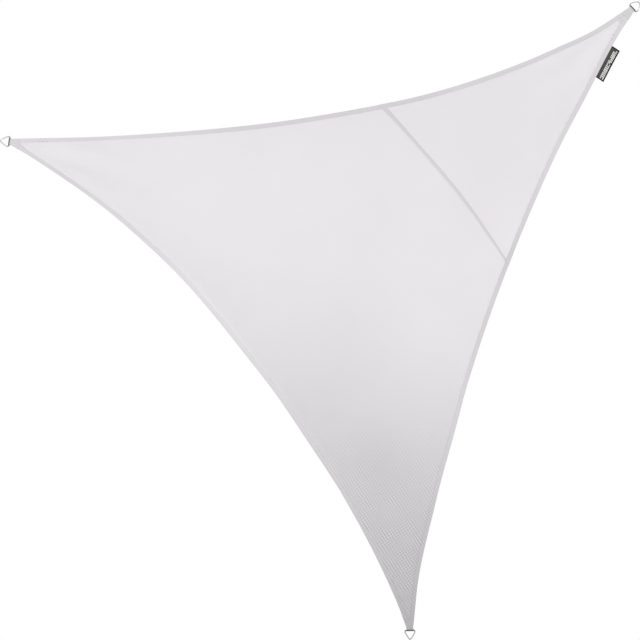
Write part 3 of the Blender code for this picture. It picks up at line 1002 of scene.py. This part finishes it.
def roundedLine(points, bends, bendCells, sideCells):
    # a closed outline with rounded corners and evenly divided sides
    arcs = []
    for k, point in enumerate(points):
        before = (points[k - 1] - point).normalized()
        after = (points[(k + 1) % len(points)] - point).normalized()
        half = before.angle(after) / 2
        centre = point + (before + after).normalized() * bends[k] / math.sin(half)
        spoke = before * bends[k] / math.tan(half) + point - centre
        sweep = (math.pi - 2 * half) * (-1 if before.cross(after) > 0 else 1)
        arc = []
        for step in range(bendCells + 1):
            angle = sweep * step / bendCells
            cosine, sine = math.cos(angle), math.sin(angle)
            swung = Vector((spoke.x * cosine - spoke.y * sine, spoke.x * sine + spoke.y * cosine))
            arc.append(centre + swung)
        arcs.append(arc)
    line = []
    for k, arc in enumerate(arcs):
        line += arc
        towards = arcs[(k + 1) % len(arcs)][0]
        line += [mix(arc[-1], towards, step / sideCells) for step in range(1, sideCells)]
    return line


def steelLook():
    look, tree, out = newLook("ringSteel")
    spot = addNode(tree, "ShaderNodeTexCoord").outputs["Object"]
    wear = addNode(tree, "ShaderNodeTexNoise", {"Vector": spot, "Scale": 160.0, "Detail": 4.0})
    fine = addNode(tree, "ShaderNodeTexNoise", {"Vector": spot, "Scale": 1400.0, "Detail": 2.0})
    paintedShadeAndDarkTip = addNode(tree, "ShaderNodeAttribute", attribute_name="paintedShadeAndDarkTip").outputs["Fac"]
    # painted shade darkens the steel along the bar; the tip is darker too
    paintedShadeAndDarkTipVaried = maths(tree, "MULTIPLY", paintedShadeAndDarkTip, maths(tree, "MULTIPLY_ADD", wear.outputs[0], 0.5, 0.75))
    tint = addNode(tree, "ShaderNodeMix", {
        0: paintedShadeAndDarkTipVaried, 6: (0.63, 0.62, 0.62, 1.0), 7: (0.16, 0.16, 0.165, 1.0)}, data_type="RGBA")
    rough = maths(tree, "ADD", maths(tree, "MULTIPLY_ADD", wear.outputs[0], 0.16, 0.16),
                  maths(tree, "MULTIPLY", paintedShadeAndDarkTipVaried, 0.25))
    bump = addNode(tree, "ShaderNodeBump", {
        "Strength": 0.25, "Distance": 0.05 * mm, "Height": fine.outputs[0]})
    metal = addNode(tree, "ShaderNodeBsdfPrincipled", {
        "Base Color": tint.outputs[2], "Metallic": 1.0, "Roughness": rough, "Normal": bump.outputs[0]})
    tree.links.new(metal.outputs[0], out.inputs["Surface"])
    return look


def webbingLook():
    look, tree, out = newLook("webbingWeave")
    spot = addNode(tree, "ShaderNodeUVMap", uv_map="threads").outputs[0]
    axes = addNode(tree, "ShaderNodeSeparateXYZ", {0: spot}).outputs
    turn = 2 * math.pi
    weft = maths(tree, "COSINE", maths(tree, "MULTIPLY", axes[0], turn / (1.1 * mm)))
    warp = maths(tree, "COSINE", maths(tree, "MULTIPLY", axes[1], turn / (1.6 * mm)))
    weave = maths(tree, "MULTIPLY_ADD", maths(tree, "MULTIPLY", weft, warp), 0.5, 0.5)
    tint = addNode(tree, "ShaderNodeMix", {
        0: weave, 6: (0.075, 0.075, 0.08, 1.0), 7: (0.15, 0.15, 0.158, 1.0)}, data_type="RGBA")
    paler = addNode(tree, "ShaderNodeAttribute", attribute_name="paler").outputs["Fac"]
    colour = addNode(tree, "ShaderNodeVectorMath", {0: tint.outputs[2]}, operation="SCALE")
    tree.links.new(maths(tree, "ADD", paler, 1.0), colour.inputs["Scale"])
    bump = addNode(tree, "ShaderNodeBump", {"Strength": 0.6, "Distance": 0.2 * mm, "Height": weave})
    yarn = addNode(tree, "ShaderNodeBsdfPrincipled", {
        "Base Color": colour.outputs[0], "Roughness": 0.85,
        "Specular IOR Level": 0.3, "Normal": bump.outputs[0]})
    tree.links.new(yarn.outputs[0], out.inputs["Surface"])
    return look


ringSteel, webbingCloth = steelLook(), webbingLook()


def bowed(spot, bow):
    high = min(max(spot.y / ring["apex"], 0.0), 1.0)
    out = bow * math.sin(math.pi * high) * ease(abs(spot.x), 0.0, 8 * mm)
    return Vector((spot.x + math.copysign(out, spot.x), spot.y))


def makeRing(name, corner):
    half = ring["halfBase"]
    points = (Vector((-half, 0.0)), Vector((half, 0.0)), Vector((0.0, ring["apex"])))
    bends = (ring["bend"], ring["bend"], ring["tipBend"])
    line = roundedLine(points, bends, ring["bendCells"], ring["sideCells"])
    line = [bowed(spot, ring["bow"][corner]) for spot in line]
    count, around = len(line), ring["aroundCells"]
    clearSelection()
    bpy.ops.mesh.primitive_torus_add(
        major_segments=count, minor_segments=around, major_radius=1, minor_radius=0.25)
    piece = bpy.context.object
    piece.name = piece.data.name = name
    spots = [cornerPlace(corner, -ring["barToCloth"] - spot.y, spot.x) for spot in line]
    weldAt = mix(points[1], points[2], 0.45)
    paintedShadeAndDarkTips = []
    for vert in piece.data.vertices:
        k, turn = vert.index // around, 2 * math.pi * (vert.index % around) / around
        here, away = line[k], (line[(k + 1) % count] - line[k - 1]).normalized()
        point, out = clothFrame(spots[k])
        ahead = onSail(spots[(k + 1) % count]) - onSail(spots[k - 1])
        side = ahead.normalized().cross(out).normalized()
        near = math.exp(-((here - weldAt).length / ring["weldHalf"]) ** 2)
        radius = ring["wire"] + ring["weld"] * near * (0.7 + 0.3 * math.sin(3 * turn))
        vert.co = point + (side * math.cos(turn) + out * math.sin(turn)) * radius
        # painted shade on the bar where it lies against the webbing and cloth, and a darker tip
        onBar = 1 - ease(here.y, 1 * mm, 9 * mm)
        atTip = ease(here.y, ring["apex"] - 11 * mm, ring["apex"] - 4 * mm)
        paintedShadeAndDarkTips.append(max(onBar * 0.9, atTip * 0.55))
    paintedShadeAndDarkTip = piece.data.attributes.new("paintedShadeAndDarkTip", "FLOAT", "POINT")
    paintedShadeAndDarkTip.data.foreach_set("value", paintedShadeAndDarkTips)
    clearUvs(piece)
    piece.data.materials.append(ringSteel)
    piece.data.shade_smooth()
    return piece


def webbingLift(inward):
    atBar = ring["wire"] + cloth["gap"] + webbing["thick"] / 2
    onHem = cloth["hem"] / 2 + cloth["gap"] + webbing["thick"] / 2
    return mix(atBar, onHem, ease(inward, -ring["barToCloth"], ring["barToCloth"]))


def webbingPath():
    # the loop's middle line, as (inward, lift), from the front leg round the bar to the back leg
    cells, turns = webbing["legCells"], webbing["turnCells"]
    radius = ring["wire"] + cloth["gap"] + webbing["thick"] / 2
    front = []
    for step in range(cells):
        inward = mix(webbing["leg"], -ring["barToCloth"], (step / cells) ** webbing["legPower"])
        front.append((inward, webbingLift(inward)))
    turn = []
    for step in range(turns + 1):
        angle = math.pi * step / turns
        turn.append((-ring["barToCloth"] - radius * math.sin(angle), radius * math.cos(angle)))
    return front + turn + [(inward, -lift) for inward, lift in reversed(front)]


def pathRuns(path):
    runs = [0.0]
    for (a, b), (c, d) in zip(path, path[1:]):
        runs.append(runs[-1] + math.hypot(c - a, d - b))
    return runs


def solidSheet(name, columns, rows, place, thickness, look, uvOf, palerOf=None):
    # place(i, j) gives the point in space, and palerOf(i, j) how much paler the cloth is there
    piece = startGrid(name, columns, rows)
    mesh = piece.data
    spots = [(round((v.co.x + 1) / 2 * columns), round((v.co.y + 1) / 2 * rows)) for v in mesh.vertices]
    for vert, (i, j) in zip(mesh.vertices, spots):
        vert.co = place(i, j)
    if palerOf:
        paler = mesh.attributes.new("paler", "FLOAT", "POINT")
        paler.data.foreach_set("value", [palerOf(i, j) for i, j in spots])
    uvs = mesh.uv_layers[0]
    uvs.name = "threads"
    for loop in mesh.loops:
        uvs.data[loop.index].uv = uvOf(*spots[loop.vertex_index])
    mesh.materials.append(look)
    mesh.shade_smooth()
    solid = piece.modifiers.new("thickness", "SOLIDIFY")
    solid.thickness = thickness
    solid.offset = 0.0
    bpy.ops.object.modifier_apply(modifier=solid.name)
    sharpenRims(piece)
    return piece


def makeWebbing(name, corner):
    path = webbingPath()
    runs = pathRuns(path)
    columns = webbing["columns"]

    def place(i, j):
        inward, lift = path[j]
        share = i / columns
        rib = webbing["rib"] * math.cos(2 * math.pi * webbing["ribs"] * share)
        across = mix(-webbing["half"], webbing["half"], share)
        before, after = path[max(j - 1, 0)], path[min(j + 1, len(path) - 1)]
        outward = Vector((after[1] - before[1], before[0] - after[0])).normalized()
        flat = cornerPlace(corner, inward + outward.x * rib, across)
        return onSail(flat, lift + outward.y * rib)

    return solidSheet(name, columns, len(path) - 1, place, webbing["thick"] * 0.86, webbingCloth,
                      lambda i, j: (runs[j], mix(-webbing["half"], webbing["half"], i / columns)),
                      lambda i, j: webbing["paler"][corner])


def widening(edge, t, corner):
    turn = edgeTurn(edge, t)
    return abs(turn.dot(pullWay[corner]) / turn.dot(acrossWay[corner]))


def patchLiftAt(inward, across):
    # the patch lies on the hems, and over the webbing's leg
    onHem = cloth["hem"] / 2 + cloth["gap"] + patch["thick"] / 2
    overLeg = webbing["thick"] / 2 + patch["gap"] + patch["thick"] / 2
    endFrom, endTo = (webbing["leg"] + step for step in patch["stepEnd"])
    sideFrom, sideTo = (webbing["half"] + step for step in patch["stepSide"])
    raised = (1 - ease(inward, endFrom, endTo)) * (1 - ease(abs(across), sideFrom, sideTo))
    return mix(onHem, webbingLift(inward) + overLeg, raised)


def patchPlace(corner, before, after, i, j):
    # the flat place of a patch's node, and its lift from the sail's middle
    plus, minus = widening(before, 1.0, corner), widening(after, 0.0, corner)
    inward = mix(-patch["overhang"], patch["long"][corner], j)
    deep = max(inward, 0.0)
    low = -(sail["endHalf"] + deep * minus - patch["margin"])
    high = sail["endHalf"] + deep * plus - patch["margin"]
    across = mix(low, high, i)
    return cornerPlace(corner, inward, across), patchLiftAt(inward, across)


def makePatch(name, corner, before, after, side):
    columns, rows = patch["columns"], patch["rows"]

    def place(i, j):
        flat, lift = patchPlace(corner, before, after, i / columns, j / rows)
        return onSail(flat, side * lift)

    def uvOf(i, j):
        return threadPlace(patchPlace(corner, before, after, i / columns, j / rows)[0])

    def palerOf(i, j):
        # painted shade: darker where it folds over the end, and in waves of painted pucker shade along the
        # pull
        arm = patchPlace(corner, before, after, i / columns, j / rows)[0] - tips[corner]
        inward, across = -arm.dot(pullWay[corner]) - sail["endSetback"], arm.dot(acrossWay[corner])
        fades = ease(inward, -2 * mm, 3 * mm) + ease(inward, 2 * mm, 12 * mm)
        dark = patch["paintedEndShade"][corner] * (2 - fades)
        wave = math.cos(2 * math.pi * across / patch["paintedPuckerPitch"] + inward / (14 * mm))
        return patch["paintedPuckerShade"] * wave - dark

    return solidSheet(name, columns, rows, place, patch["thick"], patchClothLook, uvOf, palerOf)


boxLines = (  # from, to, as shares across and along the patch
    (0.12, 0.14, 0.88, 0.14),
    (0.88, 0.14, 0.92, 0.62),
    (0.92, 0.62, 0.08, 0.62),
    (0.08, 0.62, 0.12, 0.14),
    (0.12, 0.14, 0.92, 0.62),
    (0.88, 0.14, 0.08, 0.62),
    (0.05, 0.93, 0.95, 0.93),
)


def patchStitches(corner, before, after):
    made = []
    for side in (1, -1):
        for fromI, fromJ, toI, toJ in boxLines:
            def stop(u):
                flat, lift = patchPlace(corner, before, after, mix(fromI, toI, u), mix(fromJ, toJ, u))
                return flat, onSail(flat, side * (lift + patch["thick"] / 2))
            length = (stop(1.0)[0] - stop(0.0)[0]).length
            count = max(2, round(length / (thread["pitch"] * 0.8)))
            for step in range(count):
                a, b = stop((step + 0.08) / count)[1], stop((step + 0.92) / count)[1]
                along = (b - a).normalized()
                out = clothFrame(stop((step + 0.5) / count)[0])[1] * side
                made.append(((a + b) / 2, along, (out - along * out.dot(along)).normalized()))
    return made


tacks = {  # short dense rows of thread: inward from the cloth's end, across it, in mm, and turn in degrees
    "left": ((134, -18.5, 80), (150, -20.7, 95), (166, -22.9, 85), (139, -31.6, 100), (160, -34.4, 80)),
    "top": ((49, 2.0, 30), (67, 6.0, -35), (71, -9.0, 40), (144, -28.5, 15), (162, -35.8, 20)),
    "bottom": (
        (151, -6.6, 0), (130, -34, 10), (131, -25, -10), (135, -7, 0),
        (94, -33, 0), (93, -19, 10), (99, 1, 0)),
}
tackYarns = {"left": tackYarnLook, "top": tackYarnLook, "bottom": yarnLook}
tackLook = {"stitches": 6, "pitch": 0.9 * mm}


def tackStitches(corner):
    made = []
    for inwardMm, acrossMm, turnDegrees in tacks[corner]:
        middle = cornerPlace(corner, inwardMm * mm, acrossMm * mm)
        turn = math.radians(turnDegrees)
        run = acrossWay[corner] * math.cos(turn) + pullWay[corner] * math.sin(turn)
        for side in (1, -1):
            lift = cloth["hem"] / 2 + 0.2 * mm
            if inwardMm * mm < patch["long"][corner]:
                lift = patchLiftAt(inwardMm * mm, acrossMm * mm) + patch["thick"] / 2
            for step in range(tackLook["stitches"]):
                spot = middle + run * (step - (tackLook["stitches"] - 1) / 2) * tackLook["pitch"]
                point, out = clothFrame(spot)
                over = clothFrame(spot + Vector((-run.y, run.x)) * mm)[0] - point
                along = (over - out * over.dot(out)).normalized()
                made.append((point + out * side * lift, along, out * side))
    return made


cornerEdges = {"left": ("left", "top"), "top": ("top", "right"), "bottom": ("right", "left")}
fittings = {}
for corner, (before, after) in cornerEdges.items():
    capital = corner.capitalize()
    fittings["ring_" + corner] = makeRing("ring" + capital, corner)
    fittings["webbing_" + corner] = makeWebbing("webbing" + capital, corner)
    fittings[f"patch_{corner}_front"] = makePatch(f"patch{capital}Front", corner, before, after, 1)
    fittings[f"patch_{corner}_back"] = makePatch(f"patch{capital}Back", corner, before, after, -1)
    stitchPieces.append(makeStitches(f"boxStitches{capital}", patchStitches(corner, before, after)))
    stitchPieces.append(makeStitches(f"tacks{capital}", tackStitches(corner), tackYarns[corner]))
print("rings, webbing and patches made")


# The tag in the hem of the right edge.
label = {
    "thick": 1.2 * mm,
    "start": 184 * mm,
    "long": 162 * mm,
    "out": 43 * mm,
    "tuck": 9 * mm,
    "curl": 3 * mm,
    "gap": 0.6 * mm,
    "columns": 110,
    "rows": 44,
    "border": 6.5 * mm,
    "barLong": 8.8 * mm,
    "barHigh": 6.4 * mm,
    "paleFrom": 17.5 * mm,  # the bars start this far out from the hem
}


def labelLook():
    # a woven tag: a black border, a grey half by the hem and a pattern of plain pale bars
    look, tree, out = newLook("wovenTag")
    spot = addNode(tree, "ShaderNodeUVMap", uv_map="threads").outputs[0]
    axes = addNode(tree, "ShaderNodeSeparateXYZ", {0: spot}).outputs
    along, outward = axes[0], axes[1]
    fromEnds = maths(tree, "MINIMUM", along, maths(tree, "SUBTRACT", label["long"], along))
    fromRim = maths(tree, "MINIMUM", fromEnds, maths(tree, "SUBTRACT", label["out"], outward))
    inside = maths(tree, "GREATER_THAN", fromRim, label["border"])
    outerHalf = maths(tree, "GREATER_THAN", outward, label["paleFrom"])
    cellsAlong = maths(tree, "DIVIDE", along, label["barLong"])
    pastHalf = maths(tree, "SUBTRACT", outward, label["paleFrom"])
    cellsAcross = maths(tree, "DIVIDE", pastHalf, label["barHigh"])
    cell = addNode(tree, "ShaderNodeCombineXYZ", {
        0: maths(tree, "FLOOR", cellsAlong), 1: maths(tree, "FLOOR", cellsAcross), 2: 3.0})
    chance = addNode(tree, "ShaderNodeTexWhiteNoise", {"Vector": cell.outputs[0]}, noise_dimensions="3D")
    barLength = maths(tree, "MULTIPLY_ADD", chance.outputs["Value"], 0.35, 0.55)
    barAlong = maths(tree, "LESS_THAN", maths(tree, "FRACT", cellsAlong), barLength)
    barAcross = maths(tree, "LESS_THAN", maths(tree, "FRACT", cellsAcross), 0.78)
    shown = maths(tree, "GREATER_THAN", chance.outputs["Value"], 0.15)
    bars = maths(tree, "MULTIPLY", maths(tree, "MULTIPLY", barAlong, barAcross), shown)
    pale = maths(tree, "MULTIPLY", maths(tree, "MULTIPLY", bars, outerHalf), inside)
    cloud = addNode(tree, "ShaderNodeTexNoise", {"Vector": spot, "Scale": 90.0, "Detail": 3.0})
    grey = addNode(tree, "ShaderNodeMix", {
        0: cloud.outputs[0], 6: (0.012, 0.012, 0.010, 1.0), 7: (0.13, 0.13, 0.115, 1.0)}, data_type="RGBA")
    ground = addNode(tree, "ShaderNodeMix", {
        0: inside, 6: (0.006, 0.006, 0.006, 1.0), 7: grey.outputs[2]}, data_type="RGBA")
    colour = addNode(tree, "ShaderNodeMix", {0: pale, 6: ground.outputs[2], 7: (0.86, 0.86, 0.84, 1.0)},
                     data_type="RGBA")
    turn = 2 * math.pi
    weft = maths(tree, "COSINE", maths(tree, "MULTIPLY", along, turn / (0.7 * mm)))
    warp = maths(tree, "COSINE", maths(tree, "MULTIPLY", outward, turn / (0.7 * mm)))
    weave = maths(tree, "MULTIPLY", weft, warp)
    bump = addNode(tree, "ShaderNodeBump", {"Strength": 0.5, "Distance": 0.12 * mm, "Height": weave})
    yarn = addNode(tree, "ShaderNodeBsdfPrincipled", {
        "Base Color": colour.outputs[2], "Roughness": 0.8,
        "Specular IOR Level": 0.3, "Normal": bump.outputs[0]})
    tree.links.new(yarn.outputs[0], out.inputs["Surface"])
    return look


def makeLabel():
    behind = cloth["hem"] / 2 + label["gap"] + label["thick"] / 2
    columns, rows = label["columns"], label["rows"]

    def spot(i, j):
        return label["long"] * i / columns, mix(-label["tuck"], label["out"], j / rows)

    def place(i, j):
        along, outward = spot(i, j)
        curl = label["curl"] * (max(outward, 0.0) / label["out"]) ** 2
        t = (label["start"] + along) / edgeSpan["right"]
        return onSail(edgePlace("right", t, -outward), -behind - curl)

    return solidSheet("sewnTag", columns, rows, place, label["thick"], labelLook(), spot)


fittings["label"] = makeLabel()
print("label made")


# Camera and light.
photoView = {
    "scale": 4.55 * mm,  # of the sail's plane to a pixel
    "tipAt": (639.1, 2.5),  # the top ring's tip in the frame
    "frame": 640,
    "lens": 85.0,
    "sensor": 36.0,
}


def makeCamera():
    data = bpy.data.cameras.new("camera")
    data.lens = photoView["lens"]
    data.sensor_width = photoView["sensor"]
    camera = bpy.data.objects.new("camera", data)
    bpy.context.scene.collection.objects.link(camera)
    half = photoView["frame"] / 2
    distance = photoView["lens"] / photoView["sensor"] * photoView["frame"] * photoView["scale"]
    across = (half - photoView["tipAt"][0]) * photoView["scale"]
    down = (half - photoView["tipAt"][1]) * photoView["scale"]
    camera.location = (across, -distance, -down)
    camera.rotation_euler = (math.radians(90), 0.0, 0.0)
    bpy.context.scene.camera = camera
    return camera


studio = {
    "backdrop": 0.998,
    "ambient": 0.598,
    "floorLow": -3.6,
    "floorRadius": 3.1,
}
lampTable = {  # soft round lamps: place, aim, power, full angle, blend and radius
    "frontLamp": ((-2.36, -8.82, -2.5), (-2.36, 0.0, 5.0), 1445.0, 96.2, 0.53, 0.6),
    "backLamp": ((-3.5, 5.92, 2.92), (-0.3, 0.0, 3.35), 1221.0, 88.9, 0.3, 0.5),
}


def makeLights():
    for name, (at, aim, power, angle, blend, radius) in lampTable.items():
        lamp = bpy.data.lights.new(name, "SPOT")
        lamp.energy = power
        lamp.spot_size = math.radians(angle)
        lamp.spot_blend = blend
        lamp.shadow_soft_size = radius
        placed = bpy.data.objects.new(name, lamp)
        placed.location = at
        placed.rotation_mode = "QUATERNION"
        placed.rotation_quaternion = (Vector(aim) - Vector(at)).to_track_quat("-Z", "Y")
        placed.visible_camera = False
        bpy.context.scene.collection.objects.link(placed)


def makeWorld():
    # white behind the sail and in its steel, softer where it lights the cloth
    world = bpy.data.worlds.new("studio")
    world.use_nodes = True
    bpy.context.scene.world = world
    tree = world.node_tree
    tree.nodes.clear()
    ray = addNode(tree, "ShaderNodeLightPath").outputs
    seen = maths(tree, "MAXIMUM", ray["Is Camera Ray"], ray["Is Glossy Ray"])
    strength = maths(tree, "MULTIPLY_ADD", seen, studio["backdrop"] - studio["ambient"], studio["ambient"])
    sky = addNode(tree, "ShaderNodeBackground", {"Color": (1.0, 1.0, 1.0, 1.0), "Strength": strength})
    out = addNode(tree, "ShaderNodeOutputWorld")
    tree.links.new(sky.outputs[0], out.inputs["Surface"])


def makeFloor():
    clearSelection()
    bpy.ops.mesh.primitive_circle_add(vertices=96, radius=studio["floorRadius"], fill_type="NGON")
    floor = bpy.context.object
    floor.name = "floor"
    for vert in floor.data.vertices:
        vert.co += Vector((-1.45, 0.0, studio["floorLow"]))
    look, tree, out = newLook("paleFloor")
    grain = addNode(tree, "ShaderNodeTexNoise", {"Scale": 6.0, "Detail": 4.0})
    tint = addNode(tree, "ShaderNodeMix", {
        0: grain.outputs[0], 6: (0.80, 0.80, 0.80, 1.0), 7: (0.84, 0.84, 0.84, 1.0)}, data_type="RGBA")
    paint = addNode(tree, "ShaderNodeBsdfPrincipled", {"Base Color": tint.outputs[2], "Roughness": 0.9})
    tree.links.new(paint.outputs[0], out.inputs["Surface"])
    floor.data.materials.append(look)


makeCamera()
makeLights()
makeWorld()
makeFloor()
bpy.context.scene.view_settings.view_transform = "Standard"
print("camera, light and floor set")

fittings["panel_main"] = panelMain
fittings["panel_corner"] = panelCorner
for node, piece in fittings.items():
    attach(piece, "root")
    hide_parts(node)
for piece in stitchPieces:
    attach(piece, "root")
